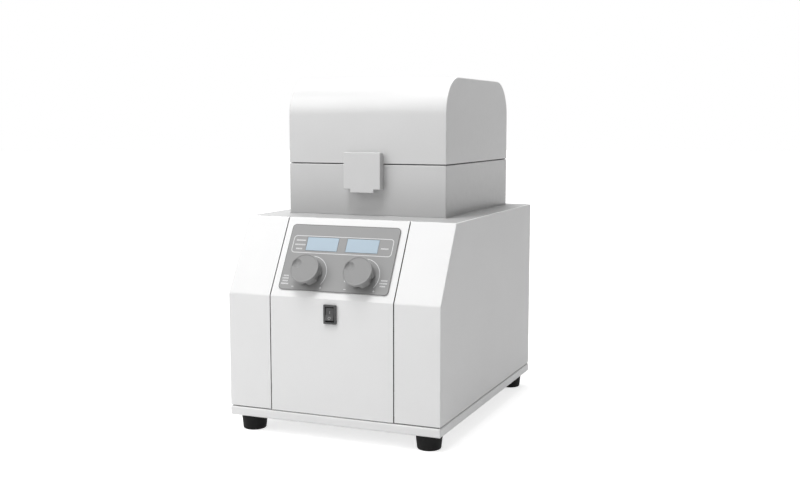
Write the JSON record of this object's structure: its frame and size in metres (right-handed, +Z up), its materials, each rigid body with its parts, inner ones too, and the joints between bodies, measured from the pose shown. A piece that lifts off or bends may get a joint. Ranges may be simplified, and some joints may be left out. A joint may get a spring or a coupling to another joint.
{
  "type": "tissue grinder",
  "caption": "Bench tissue grinder: wedge-fronted housing with knobs, displays and a rocker, and an arched hinged lid with a latch over a tube rack shaken by a crank drive.",
  "frame": {"origin": "on the bench top under the middle of the base plate", "axes": "+Z up, +X to the right of someone facing the front, the front faces -Y"},
  "size_m": [0.254, 0.3514, 0.3985],
  "materials": {
    "white_paint": "satin powder coat",
    "head_plastic": "satin",
    "overlay_grey": "matt printed",
    "knob_grey": "satin",
    "display_blue": "gloss window",
    "switch_black": "satin",
    "foot_rubber": "matt",
    "seal_rubber": "matt",
    "liner_foam": "open foam",
    "steel": "ground",
    "cast_steel": "dark",
    "aluminium": "satin",
    "bronze": "plain",
    "motor_paint": "satin",
    "rack_plastic": "matt",
    "board_green": "solder mask",
    "black_plastic": "matt"
  },
  "bodies": {
    "base": {"base_plate": "white_paint", "foot_front_left": "foot_rubber", "foot_front_right": "foot_rubber", "foot_rear_left": "foot_rubber", "foot_rear_right": "foot_rubber", "main_housing": "white_paint", "front_panel": "white_paint", "rear_panel": "white_paint", "control_overlay": "overlay_grey", "display_left": "display_blue", "display_right": "display_blue", "control_board": "board_green", "encoder_body_left": "black_plastic", "encoder_body_right": "black_plastic", "switch_housing": "switch_black", "chamber_shell": "head_plastic", "chamber_seal": "seal_rubber", "chamber_floor": "steel", "shaft_bearing": "steel", "guide_bush_left": "bronze", "guide_bush_right": "bronze", "hinge_lower_left": "steel", "hinge_lower_right": "steel", "hinge_pin_left": "steel", "hinge_pin_right": "steel", "latch_keeper": "steel", "motor": "motor_paint", "motor_bracket": "cast_steel", "power_supply": "steel", "drive_board": "board_green", "fan_frame": "black_plastic", "power_inlet": "black_plastic"},
    "lid": {"lid_shell": "head_plastic", "lid_liner": "liner_foam", "hinge_upper_left": "steel", "hinge_upper_right": "steel", "latch_bracket": "steel", "latch_pin": "steel"},
    "latch": {"latch_lever": "head_plastic", "latch_magnet": "cast_steel"},
    "encoder_left": {"encoder_shaft_left": "steel"},
    "encoder_right": {"encoder_shaft_right": "steel"},
    "knob_left": {"knob_left": "knob_grey"},
    "knob_right": {"knob_right": "knob_grey"},
    "rocker": {"switch_rocker": "switch_black"},
    "carriage": {"platform": "aluminium", "drive_shaft": "steel", "guide_rod_left": "steel", "guide_rod_right": "steel", "clamp_stud": "steel", "crosshead": "cast_steel", "wrist_pin": "steel"},
    "rack": {"tube_rack": "rack_plastic"},
    "clamp_plate": {"clamp_plate": "aluminium"},
    "clamp_knob": {"clamp_knob": "black_plastic"},
    "rod": {"connecting_rod": "cast_steel", "crank_pin": "steel"},
    "crank": {"motor_shaft": "steel", "flywheel": "cast_steel"},
    "fan": {"fan_rotor": "black_plastic"}
  },
  "joints": [
    {"name": "lid_hinge", "type": "hinge", "parent": "base", "child": "lid", "pos_m": [0, 0.159, 0.3005], "axis": [-1, 0, 0], "range_deg": [0, 78]},
    {"name": "latch_pivot", "type": "hinge", "parent": "lid", "child": "latch", "pos_m": [0, -0.0813, 0.3091], "axis": [-1, 0, 0], "range_deg": [0, 25]},
    {"name": "knob_push_left", "type": "slide", "parent": "base", "child": "encoder_left", "axis": [0, 0.8657, -0.5006], "range_m": [0, 0.001], "stiffness_N_per_m": 600, "springref_m": -0.0005},
    {"name": "knob_push_right", "type": "slide", "parent": "base", "child": "encoder_right", "axis": [0, 0.8657, -0.5006], "range_m": [0, 0.001], "stiffness_N_per_m": 600, "springref_m": -0.0005},
    {"name": "knob_turn_left", "type": "hinge", "parent": "encoder_left", "child": "knob_left", "pos_m": [-0.0316, -0.15573, 0.18267], "axis": [0, -0.8657, 0.5006], "continuous": true},
    {"name": "knob_turn_right", "type": "hinge", "parent": "encoder_right", "child": "knob_right", "pos_m": [0.0316, -0.15573, 0.18267], "axis": [0, -0.8657, 0.5006], "continuous": true},
    {"name": "power_rocker", "type": "hinge", "parent": "base", "child": "rocker", "pos_m": [0, -0.17, 0.1418], "axis": [1, 0, 0], "range_deg": [0, 20]},
    {"name": "carriage_slide", "type": "slide", "parent": "base", "child": "carriage", "axis": [0, 0, 1], "range_m": [0, 0.024]},
    {"name": "rod_swing", "type": "hinge", "parent": "carriage", "child": "rod", "pos_m": [0, 0.039, 0.1703], "axis": [0, 1, 0], "range_deg": [-7.47, 7.47]},
    {"name": "crank_spin", "type": "hinge", "parent": "base", "child": "crank", "pos_m": [0, 0.039, 0.09], "axis": [0, 1, 0], "continuous": true},
    {"name": "fan_spin", "type": "hinge", "parent": "base", "child": "fan", "pos_m": [0.067, 0.1615, 0.171], "axis": [0, 1, 0], "continuous": true},
    {"name": "rack_lift", "type": "slide", "parent": "carriage", "child": "rack", "axis": [0, 0, 1], "range_m": [0, 0.01]},
    {"name": "clamp_lift", "type": "slide", "parent": "rack", "child": "clamp_plate", "axis": [0, 0, 1], "range_m": [0, 0.006]},
    {"name": "clamp_turn", "type": "hinge", "parent": "clamp_plate", "child": "clamp_knob", "pos_m": [0, 0.039, 0.3321], "axis": [0, 0, 1], "range_deg": [0, 1440]}
  ],
  "couplings": [
    {"joint": "clamp_turn", "follows": "clamp_lift", "rad_per_m": 4188.8}
  ]
}
